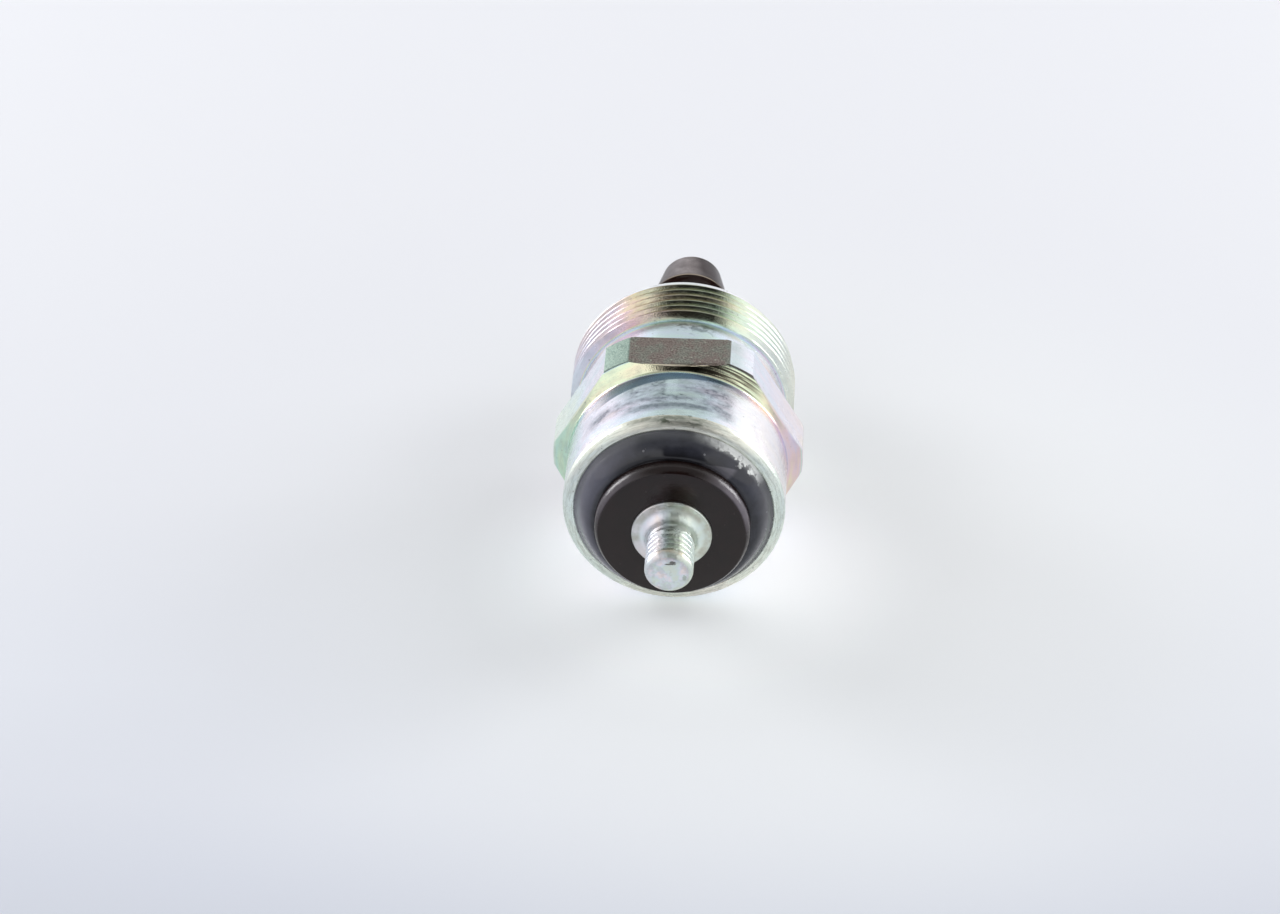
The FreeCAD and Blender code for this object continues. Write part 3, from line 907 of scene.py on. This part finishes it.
def make_boss_finish():
    """Brown-black moulding with a soft gloss, faint rub marks, dust and a painted highlight on its rim."""
    material, tree, shader = new_material("brown_black_moulding")
    place = use_in(tree, "place")
    angle = place["Angle"]
    patch = cloud_mask(tree, 1.6, 0.3, 0.7)
    fine = cloud_mask(tree, 0.22)
    rub = streak_mask(tree, 0.12, 10.0, 0.5, 0.62)
    base = mixed(patch, (0.009, 0.0042, 0.0036), (0.013, 0.0056, 0.005))
    base = laid(base, (0.16, 0.15, 0.14), 0.3, speck_mask(tree, 0.07, 0.9, 0.3))
    # Painted highlight: the rim is lightened on its left and right sides, more on the right.
    rim = times(remap(place["Radius"], 7.45, 7.75), between(place["Along"], -18.2, -17.1, 0.2))
    sides = most(between(angle, 36, 82, 14), between(angle, -78, -32, 14))
    rim_painted_highlight_share = blend(remap(angle, -10, 10), 0.2, 0.36)
    base = laid(base, (0.40, 0.36, 0.42), rim_painted_highlight_share, rim, sides, blend(patch, 0.7, 1.0))
    rough = plus(remap(fine, 0.0, 1.0, 0.11, 0.16), times(rub, 0.05))
    finished(shader, base, rough, IOR=1.42)
    bumped(shader, plus(fine, rub), 0.0025)
    return material


def make_plunger_finish():
    """Blackened, oiled steel: a dark bar with a painted highlight line along its edge, and a greyer nose with
    painted light and shade from side to side.
    """
    material, tree, shader = new_material("blackened_oiled_steel")
    place = use_in(tree, "place")
    along = place["Along"]
    nose_start = (NOSE_BASE, NOSE_BASE + 0.1)
    patch = cloud_mask(tree, 1.8, 0.3, 0.7)
    rub = streak_mask(tree, 0.25, 14.0, 0.5, 0.66)
    bar = mixed(patch, (0.015, 0.012, 0.011), (0.030, 0.025, 0.024))
    nose = mixed(patch, (0.25, 0.23, 0.226), (0.43, 0.40, 0.395))
    # Painted shade: the nose is lit and shaded from side to side on its top half, and painted darker below.
    turn = levels(place["Side"], NOSE_SHADE)
    shade = blend(remap(place["Height"], 0.0, 1.0), 0.45, turn)
    nose_painted_shade_grey = add(tree, "CombineColor", {0: shade, 1: shade, 2: shade}).outputs[0]
    nose = mixed(1.0, nose, nose_painted_shade_grey, "MULTIPLY")
    base = mixed(remap(along, *nose_start), bar, nose)
    base = laid(base, (0.26, 0.25, 0.24), remap(along, *nose_start, 0.06, 0.35), rub)
    # Painted highlight: a light line along the bar's edge by the nose.
    edge = between(along, NOSE_BASE - 0.36, NOSE_BASE - 0.1, 0.04)
    base = laid(base, (0.40, 0.35, 0.28), 0.8, edge)
    gloss = plus(remap(along, *nose_start, 0.11, 0.17), times(patch, 0.05))
    finished(shader, base, gloss, Metallic=1.0, Specular_Tint=(0.45, 0.43, 0.43, 1))
    bumped(shader, ring_height(tree, 0.16, 0.9), 0.0015)
    return material


def make_plain(name, colour, second, roughness, metallic=0.0, patch=1.2, bump=0.004, spacing=0.15):
    """A turned or moulded finish: two close colours in patches, uneven gloss and fine rings."""
    material, tree, shader = new_material(name)
    grain = cloud_mask(tree, patch / 8, detail=2.0, shift=(0.01, 0.02, 0))
    tone = times(cloud_mask(tree, patch), plus(times(grain, 0.5), 0.5))
    rough = remap(grain, 0.0, 1.0, roughness - 0.06, roughness + 0.08)
    finished(shader, mixed(tone, colour, second), rough, Metallic=metallic)
    bumped(shader, plus(ring_height(tree, spacing, 0.7), grain), bump)
    return material


# Pieces

def make_housing():
    """Body, hexagon and rolled lip turned as one shell, with its wound thread between them."""
    cone_start = HEX_BACK + (HEX_CORNER - HEX_FLAT) * math.tan(HEX_CHAMFER)
    root_radius = CAN_RADIUS + CAN_ROOT_ROUND
    root_drop = ((root_radius - HEX_FLAT) * math.sin(HEX_CHAMFER) - CAN_ROOT_ROUND) / math.cos(HEX_CHAMFER)
    root = arc((root_radius, HEX_BACK + root_drop), CAN_ROOT_ROUND, 120, 180, 5)
    crown = CAN_RADIUS - LIP_ROUND
    inner_round = crown - LIP_EDGE
    rings = [(CAN_RADIUS, place) for place in CAN_RINGS]
    lip = arc((crown, MOUTH + LIP_ROUND), LIP_ROUND, 0, -90, 9)
    lip += arc((crown, MOUTH + inner_round), inner_round, -90, -180, 5)[1:]
    inside = [
        (LIP_EDGE, MOUTH + LIP_DEPTH), (SEAT_RADIUS, MOUTH + LIP_DEPTH), (SEAT_RADIUS, YOKE_SEAT),
        (CHAMBER_RADIUS, YOKE_SEAT), (CHAMBER_RADIUS, CHAMBER_END), (SLEEVE_BORE, CHAMBER_END),
        (SLEEVE_BORE, SLEEVE_END), (EXIT_RADIUS, SLEEVE_END), (EXIT_RADIUS, PILOT_END - PILOT_EDGE)]
    pilot = [
        (EXIT_RADIUS + PILOT_EDGE, PILOT_END), (PILOT_RADIUS - PILOT_EDGE, PILOT_END),
        (PILOT_RADIUS, PILOT_END - PILOT_EDGE), (PILOT_RADIUS, PILOT_START)]
    can = turned("can", root + rings + lip + inside + pilot, BODY_SEGMENTS)
    hexagon = turned("hexagon", [
        root[0], (HEX_CORNER, cone_start), (HEX_CORNER, -HEX_EDGE), (HEX_CORNER - HEX_EDGE, 0),
        (RELIEF_RADIUS + RELIEF_ROUND, 0), (RELIEF_RADIUS, RELIEF_ROUND), (RELIEF_RADIUS, RELIEF_END),
    ], BODY_SEGMENTS, rounding=0)
    for side in range(6):
        turn = math.radians(60 * side)
        facing = Vector((math.sin(turn), 0, math.cos(turn)))
        edit(hexagon)
        bpy.ops.mesh.bisect(plane_co=facing * HEX_FLAT * MM, plane_no=facing, use_fill=True, clear_outer=True)
        close_edit()

    def crest(along):
        """The thread's highest radius: it rises out of the relief and falls to the pilot."""
        lead_in = RELIEF_RADIUS + LEAD_IN_SLOPE * (along - RELIEF_END)
        return min(THREAD_RADIUS, lead_in, PILOT_RADIUS + PILOT_START - along)

    thread = threaded("thread", THREAD_RADIUS, THREAD_PITCH, RELIEF_END, PILOT_START, BODY_SEGMENTS,
                      lambda along: 0.0, crest)
    return joined("housing_shell", [can, hexagon, thread])


def compound_surface():
    """Outline from the lip to the boss: a short fillet on the lip, a steep shoulder, then nearly flat."""
    drops = [0.0]
    for step in range(1, COMPOUND_STEPS + 1):
        out = (step - 0.5) / COMPOUND_STEPS
        fillet = min(max((out - COMPOUND_FILLET) / (1 - COMPOUND_FILLET), 0.0), 1.0)
        eased = fillet * fillet * (3 - 2 * fillet)
        drops.append(drops[-1] + out ** COMPOUND_CURVE * (1 - COMPOUND_EASE * eased))
    surface = []
    for step in range(COMPOUND_STEPS, -1, -1):
        radius = BOSS_RADIUS + (COMPOUND_EDGE - BOSS_RADIUS) * step / COMPOUND_STEPS
        surface.append((radius, COMPOUND_BOSS + (COMPOUND_LIP - COMPOUND_BOSS) * drops[step] / drops[-1]))
    return surface


def make_compound():
    """Cast ring between the boss and the rolled lip, with a slightly uneven surface and edge."""
    under_lip = MOUTH + COMPOUND_UNDER_LIP
    under = [(BOSS_RADIUS, FLANGE_TOP), (LID_RADIUS, FLANGE_TOP), (LID_RADIUS, under_lip),
             (LIP_EDGE, under_lip), (LIP_EDGE, MOUTH + COMPOUND_LIP_EDGE)]
    piece = turned("sealing_ring", under + compound_surface() + under[:1], BODY_SEGMENTS, rounding=0)
    for vertex in piece.data.vertices:
        radius = math.hypot(vertex.co.x, vertex.co.z) / MM
        on_top = vertex.co.y < (MOUTH - COMPOUND_STILL_LIP) * MM
        if on_top and radius > BOSS_RADIUS + COMPOUND_STILL_BOSS:
            vertex.co.y += COMPOUND_WAVE * MM * noise.noise(vertex.co / (COMPOUND_WAVE_SIZE * MM))
    return piece


def make_boss():
    """Moulded boss with a softened rim, its flange, and the recess at its back."""
    back = [
        (SHANK_RADIUS, BOSS_FACE), (SHANK_RADIUS, RECESS_TOP), (RECESS_RADIUS, RECESS_TOP),
        (RECESS_RADIUS, FLANGE_UNDER), (LID_RADIUS, FLANGE_UNDER), (LID_RADIUS, FLANGE_TOP),
        (BOSS_RADIUS, FLANGE_TOP)]
    rim = [(BOSS_RADIUS - inwards, BOSS_FACE + away) for inwards, away in BOSS_RIM]
    face = [(RECESS_RADIUS, BOSS_FACE), (SHANK_RADIUS, BOSS_FACE)]
    return turned("terminal_boss", back + rim + face, BODY_SEGMENTS, rounding=0.08)


def make_stud():
    """Stud with its collar, a swept hub, a wound thread and a blunt end."""
    hub = arc((STUD_RADIUS + HUB_ROUND, HUB_TOP), HUB_ROUND, 90, 180, 8)
    head = turned("stud_head", [
        (0, RIVET_END), (RIVET_RADIUS - RIVET_EDGE, RIVET_END), (RIVET_RADIUS, RIVET_START + RIVET_SIDE),
        (RIVET_RADIUS, RIVET_START), (SHANK_RADIUS, RIVET_START), (SHANK_RADIUS, BOSS_FACE),
        (COLLAR_RADIUS, BOSS_FACE), (COLLAR_RADIUS, COLLAR_TOP + COLLAR_EDGE_DEPTH),
        (COLLAR_RADIUS - COLLAR_EDGE, COLLAR_TOP), (hub[0][0] + HUB_MARGIN, COLLAR_TOP + COLLAR_DIP),
    ] + hub, STUD_SEGMENTS, rounding=0.04)
    start = STUD_END + STUD_END_ROUND
    rim = arc((STUD_RADIUS - STUD_END_ROUND, start), STUD_END_ROUND, 0, -80, 10)
    dome = [(radius, STUD_END + STUD_END_DOME * radius ** 2 - STUD_END_LIFT) for radius in STUD_END_RINGS]
    end = turned("stud_end", rim + dome, STUD_SEGMENTS, rounding=0)
    root = STUD_RADIUS - THREAD_DEPTH * STUD_PITCH

    def floor_of_root(along):
        """The thread's lowest radius: it runs out into the hub and before the blunt end."""
        fade = max(0.0, 1 - (HUB_TOP - along) / HUB_FADE, 1 - (along - start) / STUD_END_FADE)
        return root + (STUD_RADIUS - root) * fade

    thread = threaded("stud_thread", STUD_RADIUS, STUD_PITCH, start, HUB_TOP, STUD_SEGMENTS,
                      floor_of_root, lambda along: STUD_RADIUS)
    return joined("stud_shell", [head, end, thread])


def make_plunger():
    """Plunger with its tapered nose, the seal's socket and the spring's pocket."""
    return turned("plunger_bar", [
        (0, POCKET_END), (POCKET_RADIUS, POCKET_END), (POCKET_RADIUS, PLUNGER_TAIL),
        (PLUNGER_RADIUS - PLUNGER_EDGE, PLUNGER_TAIL), (PLUNGER_RADIUS, PLUNGER_TAIL + PLUNGER_EDGE),
        (PLUNGER_RADIUS, NOSE_BASE - NOSE_EDGE), (PLUNGER_RADIUS - NOSE_EDGE, NOSE_BASE),
        (NOSE_RADIUS + NOSE_TIP_EDGE, NOSE_TIP - NOSE_TIP_EDGE), (NOSE_RADIUS, NOSE_TIP),
        (SEAL_RADIUS, NOSE_TIP), (SEAL_RADIUS, SOCKET_ROOT_END), (SOCKET_ROOT_RADIUS, SOCKET_ROOT_END),
        (SOCKET_ROOT_RADIUS, SOCKET), (0, SOCKET)], PLUNGER_SEGMENTS)


def make_seal():
    """Rubber face of the plunger, keyed into its nose."""
    return turned("nose_seal", [
        (0, SOCKET), (SOCKET_ROOT_RADIUS, SOCKET), (SOCKET_ROOT_RADIUS, SOCKET_ROOT_END),
        (SEAL_RADIUS, SOCKET_ROOT_END), (SEAL_RADIUS, SEAL_FACE - SEAL_EDGE),
        (SEAL_RADIUS - SEAL_EDGE, SEAL_FACE), (SEAL_RING, SEAL_FACE), (0, SEAL_FACE),
    ], PLUNGER_SEGMENTS, rounding=0.05)


def make_spring():
    """Return spring of round wire, wound from the core's pocket to the plunger's."""
    start = SPRING_SEAT + WIRE_RADIUS + SPRING_GAP
    end = POCKET_END - WIRE_RADIUS - SPRING_GAP
    deselect_all()
    bpy.ops.mesh.primitive_circle_add(
        vertices=WIRE_SIDES, radius=WIRE_RADIUS * MM, location=(0, start * MM, SPRING_RADIUS * MM),
        rotation=(0, math.pi / 2, 0))
    piece = bpy.context.object
    piece.name = "spring_coil"
    bpy.ops.object.transform_apply(location=True, rotation=True, scale=True)
    wound(piece, SPRING_STEPS, SPRING_TURNS, (end - start) / SPRING_TURNS)
    edit(piece)
    bpy.ops.mesh.remove_doubles(threshold=MERGE)
    bpy.ops.mesh.fill_holes(sides=0)
    close_edit()
    return piece


def coat(piece, material):
    """Gives a piece one material in place of any that it has."""
    piece.data.materials.clear()
    piece.data.materials.append(material)


def finish_piece(piece, material, body, nodes, angle=32):
    """Faces a closed piece outwards, gives it its finish, ties it to its body and hides the solids that it
    stands in for.
    """
    edit(piece)
    bpy.ops.mesh.normals_make_consistent(inside=False)
    close_edit()
    coat(piece, material)
    activate(piece)
    bpy.ops.object.shade_smooth_by_angle(angle=math.radians(angle))
    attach(piece, body)
    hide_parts(*nodes)


plated = make_plated_steel()
stud_zinc = make_stud_zinc()
boss_black = make_boss_finish()
compound_slate = make_compound_finish()
plunger_black = make_plunger_finish()
rubber = make_plain("black_rubber", (0.02, 0.02, 0.02), (0.035, 0.033, 0.03), 0.6)

finish_piece(make_housing(), plated, BODY, ["housing"], 23)
finish_piece(make_compound(), compound_slate, BODY, ["sealing_compound"])
finish_piece(make_boss(), boss_black, BODY, ["terminal_insulator"])
finish_piece(make_stud(), stud_zinc, BODY, ["terminal_stud"])
finish_piece(make_plunger(), plunger_black, PLUNGER, ["armature"])
finish_piece(make_seal(), rubber, PLUNGER, ["plunger_seal"])
spring_wire = make_plain("spring_wire", (0.42, 0.42, 0.43), (0.34, 0.34, 0.36), 0.3, 1.0)
spring = make_spring()
finish_piece(spring, spring_wire, BODY, ["return_spring"])
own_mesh(spring)

brass = make_plain("washer_brass", (0.75, 0.56, 0.25), (0.62, 0.44, 0.18), 0.3, 1.0)
fibre = make_plain("fibre_brown", (0.16, 0.08, 0.04), (0.22, 0.12, 0.07), 0.6)
steel = make_plain("machined_steel", (0.56, 0.55, 0.53), (0.46, 0.46, 0.45), 0.32, 1.0)
nylon = make_plain("natural_nylon", (0.72, 0.68, 0.56), (0.66, 0.60, 0.47), 0.42)
copper = make_plain("enamelled_copper", (0.55, 0.20, 0.07), (0.42, 0.14, 0.05), 0.24, 1.0, 0.8, 0.05, 0.3)
tape = make_plain("amber_tape", (0.62, 0.44, 0.14), (0.52, 0.36, 0.10), 0.3)

# Finishes of the solids that are kept as they are
INNER = {
    "stud_backing_washer": brass,
    "insulating_washer": fibre,
    "yoke_plate": steel,
    "coil_bobbin": nylon,
    "coil_winding": copper,
    "winding_tape": tape,
    "pole_core": steel,
    "guide_sleeve": brass,
    "feed_lead": copper,
    "ground_lead": copper,
    "lead_bush": nylon,
    "nose_ring": rubber,
    "yoke_ring": rubber,
}
for node, material in INNER.items():
    coat(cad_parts[node], material)


# Studio

def make_floor():
    """Pale floor with painted shading, bluer and darker near the camera, a painted pool of light that leans
    to the right, and a painted glow round the object's foot that fills its shadow.
    """
    deselect_all()
    bpy.ops.mesh.primitive_plane_add(size=FLOOR_SIZE, location=(0, 0, FLOOR))
    floor = bpy.context.object
    floor.name = "floor"
    material, tree, shader = new_material("pale_paper")
    where = add(tree, "TexCoord").outputs["Object"]
    parts = add(tree, "SeparateXYZ", {0: where}).outputs
    # Painted shading: the floor is bluer and darker towards the camera.
    reach = remap(parts["Y"], -0.08, 0.08, smooth_ends=False)
    floor_painted_shading = ramp(reach, [
        (0.05, (0.67, 0.70, 0.77)), (0.12, (0.725, 0.755, 0.83)), (0.2, (0.80, 0.825, 0.89)),
        (0.31, (0.845, 0.87, 0.93)), (0.5, (0.84, 0.855, 0.90)), (0.9, (0.852, 0.862, 0.90))])
    from_middle, from_pool = [
        add(tree, "VectorMath", {0: where, 1: middle}, operation="DISTANCE").outputs["Value"]
        for middle in (FLOOR_MIDDLE, POOL_MIDDLE)]
    # Painted pool of light round the object, leaning to its right.
    pool = remap(from_pool, 0.015, 0.078, 1.0, 0.0)
    finished(shader, laid(floor_painted_shading, (0.955, 0.975, 0.97), 0.72, pool), 0.9)
    grain = add(tree, "TexNoise", {"Vector": where, "Scale": 900.0, "Detail": 2.0}).outputs[0]
    bumped(shader, grain, 0.01, 0.3)
    # Painted glow: the floor glows round the object's foot to fill its shadow, for camera, glossy and
    # transmission rays only.
    painted_light_lift = remap(from_middle, 0.006, 0.027, 0.2, 0.0)
    rays = add(tree, "LightPath").outputs
    seen = most(rays["Is Camera Ray"], rays["Is Glossy Ray"], rays["Is Transmission Ray"])
    feed(shader.inputs["Emission Strength"], times(painted_light_lift, seen))
    feed(shader.inputs["Emission Color"], (0.96, 0.99, 1.0, 1))
    floor.data.materials.append(material)


def sky_patch(across, height, centre, half_width, half_height, soft):
    """One inside a patch of the sky with rounded corners."""
    cubes = []
    for value, middle, half in ((across, centre[0], half_width), (height, centre[1], half_height)):
        cubes.append(maths("POWER", maths("ABSOLUTE", scaled_from(value, middle, half)), 3.0))
    apart = maths("POWER", plus(*cubes), 1 / 3)
    return remap(apart, 1 + soft, 1 - soft)


def make_sky():
    """A soft white tent: bright low down, dimmer overhead and straight ahead, dark behind the camera."""
    world = bpy.data.worlds.new("tent")
    bpy.context.scene.world = world
    world.use_nodes = True
    tree = world.node_tree
    tree.nodes.clear()
    direction = add(tree, "TexCoord").outputs["Generated"]
    parts = add(tree, "SeparateXYZ", {0: direction}).outputs
    height = times(maths("ARCSINE", parts["Z"]), 180 / math.pi)
    light = mixed(remap(height, 38.0, 62.0), (1.15, 1.15, 1.17), (0.46, 0.47, 0.48))
    ahead = remap(parts["Y"], 0.0, 0.1)
    far_dim = sky_patch(parts["X"], height, (0.0, 42), 0.4, 18, 0.3)
    light = mixed(times(far_dim, ahead), light, (0.74, 0.75, 0.76))
    behind = remap(parts["Y"], -0.05, -0.2)
    camera_side = sky_patch(parts["X"], height, (0.06, 34), 0.32, 36, 0.17)
    light = mixed(times(camera_side, behind), light, (0.02, 0.02, 0.02))
    lit = add(tree, "Background", {"Color": light, "Strength": 1.0})
    seen = add(tree, "Background", {"Color": (0.9, 0.91, 0.94, 1), "Strength": 1.0})
    camera_ray = add(tree, "LightPath").outputs["Is Camera Ray"]
    both = add(tree, "MixShader", {0: camera_ray, 1: lit.outputs[0], 2: seen.outputs[0]})
    add(tree, "OutputWorld", {0: both.outputs[0]})


def make_lamp(name, side):
    """A tall soft lamp to the left (-1) or right (1) that faces the object."""
    data = bpy.data.lights.new(name, "AREA")
    data.shape = "RECTANGLE"
    data.size = LAMP_WIDTH
    data.size_y = LAMP_HEIGHT
    data.energy = LAMP_POWER
    lamp = bpy.data.objects.new(name, data)
    bpy.context.scene.collection.objects.link(lamp)
    lamp.location = (side * LAMP_PLACE[0], LAMP_PLACE[1], LAMP_PLACE[2])
    lamp.rotation_euler = Vector(lamp.location).to_track_quat("Z", "Y").to_euler()


def make_camera():
    """The photograph's view: level left to right, looking down the terminal's end."""
    data = bpy.data.cameras.new("camera")
    data.lens = LENS
    data.sensor_width = SENSOR
    data.clip_start = 0.01
    camera = bpy.data.objects.new("camera", data)
    bpy.context.scene.collection.objects.link(camera)
    camera.location = CAMERA_PLACE
    camera.rotation_euler = (math.radians(CAMERA_TILT), 0, math.radians(CAMERA_YAW))
    bpy.context.scene.camera = camera


make_floor()
make_sky()
make_lamp("left_lamp", -1)
make_lamp("right_lamp", 1)
make_camera()
bpy.context.scene.view_settings.view_transform = "Standard"

deselect_all()
